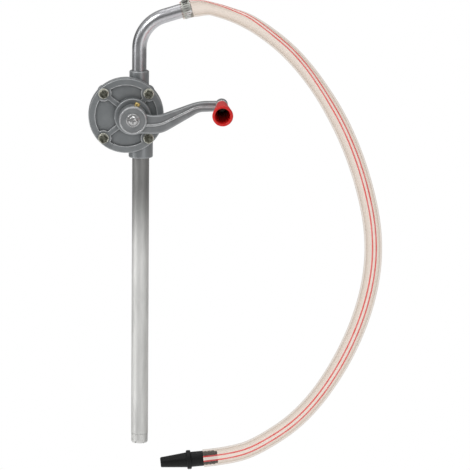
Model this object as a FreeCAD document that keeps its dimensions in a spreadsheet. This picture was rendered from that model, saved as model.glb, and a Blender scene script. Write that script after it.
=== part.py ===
"""Rotary hand transfer pump: a vane pump turned by a crank, with a telescopic suction tube below it
and a spout, a clear delivery hose and a nozzle above it.

Lengths are millimetres. X is to the right, Y to the back and Z up. The origin is on the suction tube's
axis, at the underside of the pump body's lower boss. The crank's side is the front, so a depth d in
front of the plane of the ports lies at Y = -d.
"""

import FreeCAD, Part

import math
import os

import Sketcher

Vector = FreeCAD.Vector
UP = FreeCAD.Rotation()
FRONT = FreeCAD.Rotation(Vector(1, 0, 0), 90)

SIZES = {
    # pump body and cover, depths counted forwards from the plane of the ports
    "shaft_level": 68.7,
    "disc_x": -22.9,
    "chamber_x": -20,
    "shaft_x": -13,
    "flange_radius": 57.5,
    "flange_depth": 9,
    "chamber_radius": 37.3,
    "chamber_width": 40,
    "bowl_wall": 5.7,
    "back_wall": 6,
    "rear_boss_radius": 16,
    "rear_boss_length": 10,
    "gasket_depth": 0.8,
    "cover_web": 6,
    "cover_rim": 10,
    "rim_inner_radius": 47.2,
    "cover_boss_radius": 28,
    "cover_boss_depth": 20.2,
    "rib_width": 8,
    "bolt_reach": 34.5,
    "bolt_seat_radius": 12,
    "bolt_radius": 4,
    "bolt_flats": 13,
    "bolt_head": 5.3,
    "bolt_grip": 21,
    "plain_washer_radius": 8,
    "spring_washer_radius": 7.2,
    "washer_depth": 1.6,
    # ports
    "lower_boss_radius": 18.5,
    "upper_boss_radius": 15,
    "upper_boss_level": 134,
    "inlet_radius": 9.5,
    "outlet_x": -2.8,
    "tube_thread_radius": 12.5,
    "tube_thread_length": 22,
    "spout_socket": 18,
    # shaft, rotor, vanes
    "shaft_radius": 8,
    "bush_radius": 11,
    "front_bush_length": 13,
    "seal_length": 3.2,
    "gland_radius": 17,
    "gland_rim_radius": 20.5,
    "gland_rim": 2.6,
    "running_gap": 0.03,
    "rotor_radius": 30,
    "rotor_width": 39.6,
    "slot_width": 6,
    "slot_floor": 6,
    "vane_thickness": 5.9,
    "vane_tip": 29.8,
    "vane_root": 6.5,
    "vane_width": 39.5,
    "spring_hole_radius": 2.5,
    "spring_radius": 1.9,
    "spring_wire_radius": 0.35,
    "spring_pocket": 5,
    "spring_spacing": 10,
    # crank and grip, measured from the shaft's axis
    "hub_radius": 21.4,
    "hub_back": 46,
    "hub_front": 73.5,
    "arm_back": 56,
    "arm_front": 69,
    "crank_pin_x": 135.4,
    "crank_pin_z": 22.3,
    "crank_boss_radius": 9.4,
    "crank_boss_front": 71.5,
    "arm_rib_width": 3.6,
    "arm_rib_depth": 2.2,
    "set_screw_angle": 73.6,
    "set_screw_depth": 60,
    "grip_back": 73,
    "grip_length": 91,
    "grip_end_wall": 12,
    "grip_back_radius": 8.5,
    "grip_front_radius": 16.1,
    "grip_bore_radius": 11.8,
    "grip_bolt_radius": 5,
    # telescopic suction tube
    "tube_radius": 13,
    "tube_wall": 1.2,
    "tube_length": 429,
    "middle_radius": 10.3,
    "inner_radius": 7.6,
    "bush_length": 15,
    "guide_length": 12,
    "strainer_radius": 12.7,
    "strainer_length": 15,
    # spout, hose and nozzle
    "pipe_radius": 11,
    "pipe_wall": 1.5,
    "pipe_corner_level": 207,
    "pipe_bend_radius": 53,
    "pipe_end_x": 76.5,
    "pipe_end_level": 231.1,
    "hose_radius": 13.5,
    "clamp_band": 0.8,
    "clamp_width": 13,
    "clamp_offset": 9.2,
    "nozzle_length": 66,
    "nozzle_tip_radius": 7.8,
    "nozzle_bore_radius": 5.2,
    "nozzle_body_radius": 11.6,
    "nozzle_flange_radius": 14.6,
    "nozzle_barb": 22,
}

# The hose's route from the spout to the nozzle, as (X, Z) at Y = 0. It hangs in the curve that the
# hose was coiled in. The first two points lie on the spout's axis, the last two on the nozzle's.
HOSE_ROUTE = [
    (61, 226.4),
    (93, 236.1),
    (132, 232.5),
    (178, 209),
    (240, 154),
    (299, 69),
    (338, -24),
    (360, -126),
    (350, -220),
    (312, -316),
    (253, -401),
    (182, -450),
    (138, -464.5),
    (98, -468.5),
]


# ---------------------------------------------------------------- sizes that carry their formula


class Formula:
    """A length or an angle, with the sheet formula that gives it."""

    def __init__(self, value, text):
        self.value = value
        self.text = text

    def __add__(self, other):
        other = formula(other)
        return Formula(self.value + other.value, f"({self.text} + {other.text})")

    def __sub__(self, other):
        other = formula(other)
        return Formula(self.value - other.value, f"({self.text} - {other.text})")

    def __rsub__(self, other):
        return formula(other) - self

    def __mul__(self, other):
        other = formula(other)
        return Formula(self.value * other.value, f"({self.text} * {other.text})")

    def __truediv__(self, other):
        other = formula(other)
        return Formula(self.value / other.value, f"({self.text} / {other.text})")

    def __neg__(self):
        return Formula(-self.value, f"(0 - {self.text})")

    __radd__ = __add__
    __rmul__ = __mul__


def formula(number):
    return number if isinstance(number, Formula) else Formula(number, repr(float(number)))


def cosine(angle):
    return Formula(math.cos(math.radians(angle.value)), f"cos({angle.text} * 1 deg)")


def sine(angle):
    return Formula(math.sin(math.radians(angle.value)), f"sin({angle.text} * 1 deg)")


def write_sheet():
    """Puts the driving dimensions into the sheet and returns each one as a Formula, by name."""
    sheet = doc.addObject("Spreadsheet::Sheet", "Sizes")
    for row, (name, value) in enumerate(SIZES.items(), start=1):
        sheet.set(f"A{row}", name)
        sheet.set(f"B{row}", str(value))
        sheet.setAlias(f"B{row}", name)
    return {name: Formula(value, f"Sizes.{name}") for name, value in SIZES.items()}


def bind(thing, **properties):
    """Drives properties of an object by formulas. Two underscores stand for a dot."""
    for name, value in properties.items():
        thing.setExpression(name.replace("__", "."), formula(value).text)


def place(thing, spot=(0, 0, 0), turn=UP):
    """Puts an object at a spot with a fixed turn."""
    x, y, z = (formula(c) for c in spot)
    thing.Placement = FreeCAD.Placement(Vector(x.value, y.value, z.value), turn)
    bind(thing, Placement__Base__x=x, Placement__Base__y=y, Placement__Base__z=z)
    return thing


# ---------------------------------------------------------------- sketches and features


def new_body(name, spot=(0, 0, 0), turn=UP):
    return place(doc.addObject("PartDesign::Body", name), spot, turn)


def new_sketch(body, name, plane="XY_Plane", height=0):
    """A sketch on one of the body's own planes, at a height along its normal."""
    sketch = body.newObject("Sketcher::SketchObject", name)
    origin_plane = next(f for f in body.Origin.OriginFeatures if f.Role == plane)
    sketch.AttachmentSupport = [(origin_plane, "")]
    sketch.MapMode = "FlatFace"
    sketch.AttachmentOffset = FreeCAD.Placement(Vector(0, 0, formula(height).value), UP)
    bind(sketch, AttachmentOffset__Base__z=height)
    return sketch


def dimension(sketch, kind, places, value):
    """A driving constraint whose value comes from a formula."""
    value = formula(value)
    number = sketch.addConstraint(Sketcher.Constraint(kind, *places, value.value))
    sketch.setExpression(f"Constraints[{number}]", value.text)


def draw_polygon(sketch, corners):
    """A closed outline of straight lines, each corner dimensioned from the sketch's origin."""
    first = sketch.GeometryCount
    spots = [(formula(x), formula(y)) for x, y in corners]
    for (x, y), (next_x, next_y) in zip(spots, spots[1:] + spots[:1]):
        start = Vector(x.value, y.value, 0)
        end = Vector(next_x.value, next_y.value, 0)
        sketch.addGeometry(Part.LineSegment(start, end), False)
    for i, (x, y) in enumerate(spots):
        line = first + i
        following = first + (i + 1) % len(spots)
        sketch.addConstraint(Sketcher.Constraint("Coincident", line, 2, following, 1))
        dimension(sketch, "DistanceX", (-1, 1, line, 1), x)
        dimension(sketch, "DistanceY", (-1, 1, line, 1), y)


def draw_circle(sketch, radius, x=0, y=0):
    number = sketch.GeometryCount
    x, y, radius = formula(x), formula(y), formula(radius)
    circle = Part.Circle(Vector(x.value, y.value, 0), Vector(0, 0, 1), radius.value)
    sketch.addGeometry(circle, False)
    dimension(sketch, "Radius", (number,), radius)
    dimension(sketch, "DistanceX", (-1, 1, number, 3), x)
    dimension(sketch, "DistanceY", (-1, 1, number, 3), y)


def add_pad(body, sketch, length, backwards=False):
    pad = body.newObject("PartDesign::Pad", sketch.Name + "_pad")
    pad.Profile = sketch
    pad.Reversed = backwards
    bind(pad, Length=length)
    return pad


def add_pocket(body, sketch, length, forwards=False):
    """Cuts against the sketch's normal, or along it if forwards."""
    pocket = body.newObject("PartDesign::Pocket", sketch.Name + "_pocket")
    pocket.Profile = sketch
    pocket.Reversed = forwards
    bind(pocket, Length=length)
    return pocket


def repeat_round(body, feature, count):
    """A pattern of a feature round the body's own Z axis."""
    pattern = body.newObject("PartDesign::PolarPattern", feature.Name + "_ring")
    pattern.Originals = [feature]
    axis = next(f for f in body.Origin.OriginFeatures if f.Role == "Z_Axis")
    pattern.Axis = (axis, [""])
    pattern.Angle = 360
    pattern.Occurrences = count
    body.Tip = pattern
    return pattern


def add_edge_feature(body, kind, name, size, chosen):
    """A fillet or a chamfer on the body's edges for which chosen(edge) is true."""
    doc.recompute()
    base = body.Tip
    picked = [f"Edge{i}" for i, edge in enumerate(base.Shape.Edges, start=1) if chosen(edge)]
    if not picked:
        raise RuntimeError(f"{name} has no edges, {base.Label} is {base.State}")
    feature = body.newObject(kind, name)
    feature.Base = (base, picked)
    bind(feature, **{"Radius" if kind.endswith("Fillet") else "Size": size})
    return feature


def round_edges(body, name, radius, chosen):
    return add_edge_feature(body, "PartDesign::Fillet", name, radius, chosen)


def chamfer_edges(body, name, size, chosen):
    return add_edge_feature(body, "PartDesign::Chamfer", name, size, chosen)


def is_arc(edge, radius=None, height=None):
    """True for a circular edge of this radius that lies in this plane of the body's frame."""
    if edge.Curve.TypeId != "Part::GeomCircle":
        return False
    if radius is not None and abs(edge.Curve.Radius - formula(radius).value) > 0.01:
        return False
    return height is None or lies_at(edge, height)


def lies_at(edge, height):
    level = formula(height).value
    return abs(edge.BoundBox.ZMin - level) < 0.01 and abs(edge.BoundBox.ZMax - level) < 0.01


def turned(name, profile, spot=(0, 0, 0), turn=UP):
    """A turned piece: a closed profile of (radius, height) corners, revolved about the body's Z."""
    body = new_body(name, spot, turn)
    sketch = new_sketch(body, name + "_profile", "XZ_Plane")
    draw_polygon(sketch, profile)
    revolution = body.newObject("PartDesign::Revolution", name + "_turning")
    revolution.Profile = sketch
    revolution.ReferenceAxis = (sketch, ["V_Axis"])
    revolution.Angle = 360
    return body


def ring(name, inner, outer, low, high, spot=(0, 0, 0), turn=UP):
    """A plain ring between two heights."""
    return turned(name, [(inner, low), (outer, low), (outer, high), (inner, high)], spot, turn)


def group(name, pieces):
    """Identical loose pieces in one node."""
    joined = doc.addObject("Part::Compound", name)
    joined.Links = pieces
    return joined


# ---------------------------------------------------------------- casing


def on_disc():
    return (size["disc_x"], 0, size["shaft_level"])


def on_shaft():
    return (size["shaft_x"], 0, size["shaft_level"])


def make_pump_body():
    """The bowl with its flange, both port bosses and the rear bearing boss, in one casting."""
    half = size["chamber_width"] / 2
    bowl_back = -(half + size["back_wall"])
    bowl_radius = size["chamber_radius"] + size["bowl_wall"]
    disc_shift = size["disc_x"] - size["chamber_x"]
    shaft_shift = size["shaft_x"] - size["chamber_x"]
    outlet_shift = size["outlet_x"] - size["chamber_x"]
    inlet_shift = -size["chamber_x"]
    body = new_body("pump_body", (size["chamber_x"], 0, size["shaft_level"]), FRONT)

    bowl = new_sketch(body, "bowl", height=bowl_back)
    draw_circle(bowl, bowl_radius)
    add_pad(body, bowl, half - bowl_back)
    round_edges(body, "bowl_rounding", 7, lambda e: is_arc(e, bowl_radius, bowl_back))
    flange_back = half - size["flange_depth"]
    flange = new_sketch(body, "flange", height=flange_back)
    draw_circle(flange, size["flange_radius"], disc_shift)
    add_pad(body, flange, size["flange_depth"])
    round_edges(
        body, "flange_rounding", 1.2, lambda e: is_arc(e, size["flange_radius"], flange_back)
    )
    rear_boss = new_sketch(body, "rear_boss", height=bowl_back)
    draw_circle(rear_boss, size["rear_boss_radius"], shaft_shift)
    add_pad(body, rear_boss, size["rear_boss_length"], backwards=True)
    boss_back = bowl_back - size["rear_boss_length"]
    round_edges(
        body,
        "rear_boss_rounding",
        2,
        lambda e: is_arc(e, size["rear_boss_radius"], boss_back),
    )
    lugs = new_sketch(body, "bolt_lugs", height=flange_back)
    for side in (-1, 1):
        for height in (-1, 1):
            draw_circle(
                lugs,
                9,
                disc_shift + side * size["bolt_reach"],
                height * size["bolt_reach"],
            )
    add_pad(body, lugs, 8, backwards=True)

    lower_boss = new_sketch(body, "lower_boss", "XZ_Plane")
    draw_circle(lower_boss, size["lower_boss_radius"], inlet_shift)
    add_pad(body, lower_boss, size["shaft_level"])
    upper_boss = new_sketch(body, "upper_boss", "XZ_Plane")
    draw_circle(upper_boss, size["upper_boss_radius"], outlet_shift)
    add_pad(body, upper_boss, size["upper_boss_level"] - size["shaft_level"], backwards=True)
    foot = -size["shaft_level"].value
    top = (size["upper_boss_level"] - size["shaft_level"]).value
    round_edges(
        body,
        "lower_boss_rounding",
        1.6,
        lambda e: is_arc(e, size["lower_boss_radius"]) and abs(e.BoundBox.YMax - foot) < 0.01,
    )
    chamfer_edges(
        body,
        "upper_boss_chamfer",
        1.2,
        lambda e: is_arc(e, size["upper_boss_radius"]) and abs(e.BoundBox.YMin - top) < 0.01,
    )

    chamber = new_sketch(body, "chamber", height=half)
    draw_circle(chamber, size["chamber_radius"])
    add_pocket(body, chamber, size["chamber_width"])
    bearing = new_sketch(body, "rear_bearing", height=-half)
    draw_circle(bearing, size["bush_radius"], shaft_shift)
    add_pocket(body, bearing, size["front_bush_length"])
    threads = new_sketch(body, "bolt_threads", height=half)
    for side in (-1, 1):
        for height in (-1, 1):
            draw_circle(
                threads,
                size["bolt_radius"],
                disc_shift + side * size["bolt_reach"],
                height * size["bolt_reach"],
            )
    add_pocket(body, threads, 14)

    socket = new_sketch(body, "tube_socket", "XZ_Plane", size["shaft_level"])
    draw_circle(socket, size["tube_thread_radius"], inlet_shift)
    add_pocket(body, socket, size["tube_thread_length"])
    inlet = new_sketch(body, "inlet", "XZ_Plane", size["shaft_level"])
    draw_circle(inlet, size["inlet_radius"], inlet_shift)
    add_pocket(body, inlet, 50)
    spout_top = size["shaft_level"] - size["upper_boss_level"]
    socket = new_sketch(body, "spout_socket_circle", "XZ_Plane", spout_top)
    draw_circle(socket, size["pipe_radius"], outlet_shift)
    add_pocket(body, socket, size["spout_socket"], forwards=True)
    outlet = new_sketch(body, "outlet", "XZ_Plane", spout_top)
    draw_circle(outlet, size["pipe_radius"] - size["pipe_wall"], outlet_shift)
    add_pocket(body, outlet, 46, forwards=True)
    return body


def cover_back():
    return size["chamber_width"] / 2 + size["gasket_depth"]


def cover_front():
    return cover_back() + size["cover_rim"]


def make_front_cover():
    """A round plate with a raised rim, a bolt seat at each corner and a rib from each seat to the boss."""
    shaft_shift = size["shaft_x"] - size["disc_x"]
    web_front = cover_back() + size["cover_web"]
    raised = size["cover_rim"] - size["cover_web"]
    body = new_body("front_cover", on_disc(), FRONT)
    plate = new_sketch(body, "plate", height=cover_back())
    draw_circle(plate, size["flange_radius"])
    add_pad(body, plate, size["cover_web"])
    rim = new_sketch(body, "rim", height=web_front)
    draw_circle(rim, size["flange_radius"])
    draw_circle(rim, size["rim_inner_radius"])
    add_pad(body, rim, raised)
    seat = new_sketch(body, "bolt_seat", height=web_front)
    draw_circle(seat, size["bolt_seat_radius"], size["bolt_reach"], size["bolt_reach"])
    repeat_round(body, add_pad(body, seat, raised), 4)
    for side, side_name in ((-1, "left"), (1, "right")):
        for height, height_name in ((-1, "low"), (1, "high")):
            rib = new_sketch(body, f"rib_{side_name}_{height_name}", height=web_front)
            draw_polygon(rib, rib_corners(side, height, shaft_shift))
            add_pad(body, rib, raised)
    boss = new_sketch(body, "cover_boss", height=web_front)
    draw_circle(boss, size["cover_boss_radius"], shaft_shift)
    add_pad(body, boss, size["cover_boss_depth"] - size["cover_web"])
    outside = new_sketch(body, "outside", height=cover_front())
    draw_circle(outside, size["flange_radius"] + 20)
    draw_circle(outside, size["flange_radius"])
    add_pocket(body, outside, size["cover_rim"])

    boss_front = cover_back() + size["cover_boss_depth"]
    round_edges(
        body,
        "cover_boss_rounding",
        1.6,
        lambda e: is_arc(e, size["cover_boss_radius"], boss_front),
    )
    round_edges(
        body,
        "cover_rim_rounding",
        1.4,
        lambda e: is_arc(e, size["flange_radius"], cover_front()),
    )
    round_edges(
        body,
        "cover_pocket_rounding",
        0.8,
        lambda e: lies_at(e, cover_front()) and e.Curve.TypeId == "Part::GeomLine",
    )

    gland = new_sketch(body, "gland_recess", height=boss_front)
    draw_circle(gland, size["gland_radius"], shaft_shift)
    add_pocket(body, gland, size["cover_boss_depth"] - size["front_bush_length"])
    bearing = new_sketch(body, "front_bearing", height=boss_front)
    draw_circle(bearing, size["bush_radius"], shaft_shift)
    add_pocket(body, bearing, size["cover_boss_depth"])
    hole = new_sketch(body, "bolt_hole", height=cover_front())
    draw_circle(hole, size["bolt_radius"] + 0.5, size["bolt_reach"], size["bolt_reach"])
    repeat_round(body, add_pocket(body, hole, size["cover_rim"]), 4)
    return body


def rib_corners(side, height, shaft_shift):
    """The four corners of one rib of the cover, from the boss's axis to a bolt's axis."""
    run = side * size["bolt_reach"] - shaft_shift
    rise = height * size["bolt_reach"]
    length = Formula(
        math.hypot(run.value, rise.value), f"sqrt({run.text} ^ 2 + {rise.text} ^ 2)"
    )
    across_x = rise / length * size["rib_width"] / 2
    across_y = run / length * size["rib_width"] / 2
    return [
        (shaft_shift - across_x, across_y),
        (shaft_shift + run - across_x, rise + across_y),
        (shaft_shift + run + across_x, rise - across_y),
        (shaft_shift + across_x, -across_y),
    ]


def make_gasket():
    back = size["chamber_width"] / 2
    body = new_body("cover_gasket", on_disc(), FRONT)
    sheet = new_sketch(body, "gasket_sheet", height=back)
    draw_circle(sheet, size["flange_radius"] - 0.4)
    draw_circle(sheet, size["chamber_radius"] + 1, size["chamber_x"] - size["disc_x"])
    add_pad(body, sheet, size["gasket_depth"])
    hole = new_sketch(body, "gasket_hole", height=back + size["gasket_depth"])
    draw_circle(hole, size["bolt_radius"] + 0.5, size["bolt_reach"], size["bolt_reach"])
    repeat_round(body, add_pocket(body, hole, size["gasket_depth"]), 4)
    return body


def bolt_spots():
    for side in (-1, 1):
        for height in (-1, 1):
            across = size["disc_x"] + side * size["bolt_reach"]
            level = size["shaft_level"] + height * size["bolt_reach"]
            yield (across, 0, level)


def make_cover_fasteners():
    """Four hexagon bolts, each on a spring washer and a plain washer."""
    plain_front = cover_front() + size["washer_depth"]
    seat = plain_front + size["washer_depth"]
    bolts, springs, plains = [], [], []
    for number, spot in enumerate(bolt_spots(), start=1):
        bolts.append(make_hex_bolt(f"bolt_{number}", seat, spot, 11 * number))
        washer = ring(
            f"split_washer_{number}",
            size["bolt_radius"] + 0.2,
            size["spring_washer_radius"],
            plain_front,
            seat,
            spot,
            FRONT,
        )
        split = new_sketch(washer, f"split_{number}", height=seat)
        draw_polygon(split, [(-0.5, 3), (0.5, 3), (0.5, 9), (-0.5, 9)])
        add_pocket(washer, split, size["washer_depth"])
        springs.append(washer)
        plains.append(
            ring(
                f"flat_washer_{number}",
                size["bolt_radius"] + 0.3,
                size["plain_washer_radius"],
                cover_front(),
                plain_front,
                spot,
                FRONT,
            )
        )
    return [
        group("cover_bolts", bolts),
        group("spring_washers", springs),
        group("plain_washers", plains),
    ]


def make_hex_bolt(name, seat, spot, turned_by):
    """A hexagon bolt with its crown turned down to a slight cone."""
    body = new_body(name, spot, FRONT * FreeCAD.Rotation(Vector(0, 0, 1), turned_by))
    shank = new_sketch(body, name + "_shank", height=seat - size["bolt_grip"] - 4)
    draw_circle(shank, size["bolt_radius"])
    add_pad(body, shank, size["bolt_grip"] + 4)
    head = new_sketch(body, name + "_head", height=seat)
    corner = size["bolt_flats"] / (2 * math.cos(math.radians(30)))
    angles = [formula(60 * i) for i in range(6)]
    draw_polygon(head, [(corner * cosine(a), corner * sine(a)) for a in angles])
    add_pad(body, head, size["bolt_head"])
    crown = body.newObject("PartDesign::Groove", name + "_crown")
    cutter = new_sketch(body, name + "_crown_profile", "XZ_Plane")
    top = seat + size["bolt_head"]
    flat = size["bolt_flats"] / 2
    draw_polygon(cutter, [(flat - 0.6, top), (flat + 2.4, top - 1.5), (flat + 2.4, top)])
    crown.Profile = cutter
    crown.ReferenceAxis = (cutter, ["V_Axis"])
    crown.Angle = 360
    body.Tip = crown
    return body


# ---------------------------------------------------------------- rotor, bearings and seal


def make_rotor():
    """The slotted rotor drum and its shaft, in one piece."""
    half = size["rotor_width"] / 2
    rear = size["chamber_width"] / 2 + size["front_bush_length"] - 0.3
    shaft_front = size["hub_front"] - 1
    body = turned(
        "rotor_shaft",
        [
            (0, -rear),
            (size["shaft_radius"], -rear),
            (size["shaft_radius"], -half),
            (size["rotor_radius"], -half),
            (size["rotor_radius"], half),
            (size["shaft_radius"], half),
            (size["shaft_radius"], shaft_front),
            (0, shaft_front),
        ],
        on_shaft(),
        FRONT,
    )
    side = size["slot_width"] / 2
    for direction, name in ((1, "upper"), (-1, "lower")):
        slot = new_sketch(body, name + "_slot", height=half)
        floor = direction * size["slot_floor"]
        mouth = direction * (size["rotor_radius"] + 2)
        draw_polygon(slot, [(-side, floor), (side, floor), (side, mouth), (-side, mouth)])
        add_pocket(body, slot, size["rotor_width"])
    holes = new_sketch(body, "spring_holes", "XZ_Plane", -size["slot_floor"])
    draw_circle(holes, size["spring_hole_radius"], 0, size["spring_spacing"])
    draw_circle(holes, size["spring_hole_radius"], 0, -size["spring_spacing"])
    add_pocket(body, holes, 2 * size["slot_floor"], forwards=True)
    thread = new_sketch(body, "end_thread", height=shaft_front)
    draw_circle(thread, size["bolt_radius"])
    add_pocket(body, thread, 20)
    return body


def make_vane(name, direction):
    """One vane, pushed fully into its slot, with a rounded tip and a pocket for each spring."""
    side = size["vane_thickness"] / 2
    root = direction * size["vane_root"]
    tip = direction * size["vane_tip"]
    body = new_body(name, on_shaft(), FRONT)
    blade = new_sketch(body, name + "_blade", height=-size["vane_width"] / 2)
    draw_polygon(blade, [(-side, root), (side, root), (side, tip), (-side, tip)])
    add_pad(body, blade, size["vane_width"])
    outer = tip.value
    round_edges(
        body,
        name + "_tip",
        2.8,
        lambda e: abs(e.BoundBox.YMax - outer) < 0.01
        and abs(e.BoundBox.YMin - outer) < 0.01
        and e.BoundBox.ZLength > 1,
    )
    pockets = new_sketch(body, name + "_pockets", "XZ_Plane", -root)
    draw_circle(pockets, size["spring_hole_radius"], 0, size["spring_spacing"])
    draw_circle(pockets, size["spring_hole_radius"], 0, -size["spring_spacing"])
    add_pocket(body, pockets, size["spring_pocket"], forwards=direction < 0)
    return body


def make_vane_springs():
    """Two coil springs through the rotor, each pushing both vanes outwards."""
    length = 2 * (size["vane_root"] + size["spring_pocket"]) - 1.4
    springs = []
    for side, name in ((-1, "rear"), (1, "front")):
        depth = -side * size["spring_spacing"]
        foot = (size["shaft_x"], depth, size["shaft_level"] - length / 2)
        coil = place(doc.addObject("Part::Helix", name + "_coil"), foot)
        bind(coil, Radius=size["spring_radius"], Height=length, Pitch=length / 10)
        wire = doc.addObject("Part::Circle", name + "_wire")
        start = (foot[0] + size["spring_radius"], foot[1], foot[2])
        place(wire, start, FreeCAD.Rotation(Vector(1, 0, 0), 90))
        bind(wire, Radius=size["spring_wire_radius"])
        spring = doc.addObject("Part::Sweep", name + "_spring")
        spring.Sections = [wire]
        spring.Spine = (coil, [])
        spring.Solid = True
        spring.Frenet = True
        springs.append(spring)
    return group("vane_springs", springs)


def make_bearings():
    """The two bushes, the shaft seal and the gland nut that holds it."""
    bore = size["shaft_radius"] + size["running_gap"]
    back = -size["chamber_width"] / 2
    bush_front = cover_back() + size["front_bush_length"]
    seal_front = bush_front + size["seal_length"]
    boss_front = cover_back() + size["cover_boss_depth"]
    rear_bush = ring(
        "rear_bush",
        bore,
        size["bush_radius"],
        back - size["front_bush_length"],
        back,
        on_shaft(),
        FRONT,
    )
    front_bush = ring(
        "front_bush", bore, size["bush_radius"], cover_back(), bush_front, on_shaft(), FRONT
    )
    shaft_seal = ring(
        "shaft_seal", bore, size["gland_radius"], bush_front, seal_front, on_shaft(), FRONT
    )
    clear = size["shaft_radius"] + 0.4
    gland = turned(
        "gland_nut",
        [
            (clear, seal_front),
            (size["gland_radius"], seal_front),
            (size["gland_radius"], boss_front),
            (size["gland_rim_radius"], boss_front),
            (size["gland_rim_radius"], boss_front + size["gland_rim"] - 0.8),
            (size["gland_rim_radius"] - 0.8, boss_front + size["gland_rim"]),
            (clear, boss_front + size["gland_rim"]),
        ],
        on_shaft(),
        FRONT,
    )
    rim = size["gland_rim_radius"]
    slot = new_sketch(gland, "spanner_slot", height=boss_front + size["gland_rim"])
    draw_polygon(slot, [(rim - 4, -2), (rim + 2, -2), (rim + 2, 2), (rim - 4, 2)])
    repeat_round(gland, add_pocket(gland, slot, size["gland_rim"]), 4)
    return [rear_bush, front_bush, shaft_seal, gland]


# ---------------------------------------------------------------- crank and grip


def make_crank_arm():
    """The S-shaped crank casting: a hub, an arm with a rib along its face, and a boss for the grip.

    The arm's outline has straight sides. Its four inner corners are rounded to long arcs, and so are
    the corners of the rib that follows it."""
    pin_x, pin_z = size["crank_pin_x"], size["crank_pin_z"]
    depth = size["arm_front"] - size["arm_back"]
    body = new_body("crank_arm", on_shaft(), FRONT)
    arm = new_sketch(body, "arm", height=size["arm_back"])
    dip_top, shoulder_top = (35, 4.5), (100.3, pin_z + 5.9)
    dip_foot, shoulder_foot = (43, -22.3), (101, pin_z - 10.2)
    draw_polygon(
        arm,
        [
            (0, 13.5),
            (0, -size["hub_radius"] + 0.2),
            dip_foot,
            shoulder_foot,
            (pin_x, pin_z - 8.6),
            (pin_x, pin_z + 6.2),
            shoulder_top,
            dip_top,
        ],
    )
    add_pad(body, arm, depth)
    for name, corner, radius in (
        ("dip_top", dip_top, 45),
        ("shoulder_top", shoulder_top, 80),
        ("dip_foot", dip_foot, 50),
        ("shoulder_foot", shoulder_foot, 25),
    ):
        round_edges(body, "arm_" + name, radius, lambda e, c=corner: stands_on(e, c))
    round_edges(
        body,
        "arm_front_rounding",
        3.2,
        lambda e: lies_at(e, size["arm_front"]) and runs_along_arm(e),
    )
    round_edges(
        body,
        "arm_back_rounding",
        3,
        lambda e: lies_at(e, size["arm_back"]) and runs_along_arm(e),
    )

    boss = new_sketch(body, "pin_boss", height=size["arm_back"] - 1)
    draw_circle(boss, size["crank_boss_radius"], pin_x, pin_z)
    add_pad(body, boss, size["crank_boss_front"] - size["arm_back"] + 1)
    round_edges(
        body,
        "pin_boss_rounding",
        1.5,
        lambda e: is_arc(e, size["crank_boss_radius"], size["crank_boss_front"])
        or is_arc(e, size["crank_boss_radius"], size["arm_back"] - 1),
    )

    rib = new_sketch(body, "arm_rib", height=size["arm_front"] - 1)
    half = size["arm_rib_width"] / 2
    low, high = (41, -7.4), (98, pin_z - 1.4)
    draw_polygon(
        rib,
        [
            (10, -7.7 - half),
            (low[0], low[1] - half),
            (high[0], high[1] - half),
            (pin_x - 7, high[1] - half),
            (pin_x - 7, high[1] + half),
            (high[0], high[1] + half),
            (low[0], low[1] + half),
            (10, -7.7 + half),
        ],
    )
    add_pad(body, rib, size["arm_rib_depth"] + 1)
    for name, corner, radius in (("low", low, 45), ("high", high, 30)):
        for side, side_name in ((-1, "under"), (1, "over")):
            spot = (corner[0], formula(corner[1]) + side * half)
            round_edges(
                body,
                f"rib_{name}_{side_name}",
                radius,
                lambda e, s=spot: stands_on(e, s, size["arm_front"]),
            )

    hub = new_sketch(body, "hub", height=size["hub_back"])
    draw_circle(hub, size["hub_radius"])
    add_pad(body, hub, size["hub_front"] - size["hub_back"])
    chamfer_edges(
        body,
        "hub_chamfer",
        1.2,
        lambda e: is_arc(e, size["hub_radius"], size["hub_front"])
        or is_arc(e, size["hub_radius"], size["hub_back"]),
    )

    bore = new_sketch(body, "hub_bore", height=size["hub_front"])
    draw_circle(bore, size["shaft_radius"])
    add_pocket(body, bore, size["hub_front"] - size["hub_back"])
    face = new_sketch(body, "hub_face", height=size["hub_front"])
    draw_circle(face, size["hub_radius"] - 2.6)
    draw_circle(face, 10.4)
    add_pocket(body, face, 0.7)
    thread = new_sketch(body, "pin_thread", height=size["crank_boss_front"])
    draw_circle(thread, size["bolt_radius"], pin_x, pin_z)
    add_pocket(body, thread, depth + 6)
    angle = size["set_screw_angle"]
    hole = body.newObject("PartDesign::SubtractiveCylinder", "set_screw_hole")
    hole.Placement.Rotation = FreeCAD.Rotation(Vector(0, 0, 1), Vector(*radial(angle.value), 0))
    bind(hole, Radius=3, Height=size["hub_radius"] + 2, Placement__Base__z=size["set_screw_depth"])
    body.Tip = hole
    return body


def radial(angle):
    """The unit step away from the shaft at an angle in degrees above +X."""
    return math.cos(math.radians(angle)), math.sin(math.radians(angle))


def stands_on(edge, corner, at_least=0):
    """True for an edge along the body's Z, above a corner of an outline."""
    box = edge.BoundBox
    x, y = (formula(c).value for c in corner)
    upright = box.ZLength > 1 and box.XLength < 0.01 and box.YLength < 0.01
    near = abs(box.XMin - x) < 0.05 and abs(box.YMin - y) < 0.05
    return upright and near and box.ZMax >= formula(at_least).value


def runs_along_arm(edge):
    """False for the arm's two short end edges, which the hub and the boss cover."""
    return edge.BoundBox.XLength > 0.01


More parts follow.
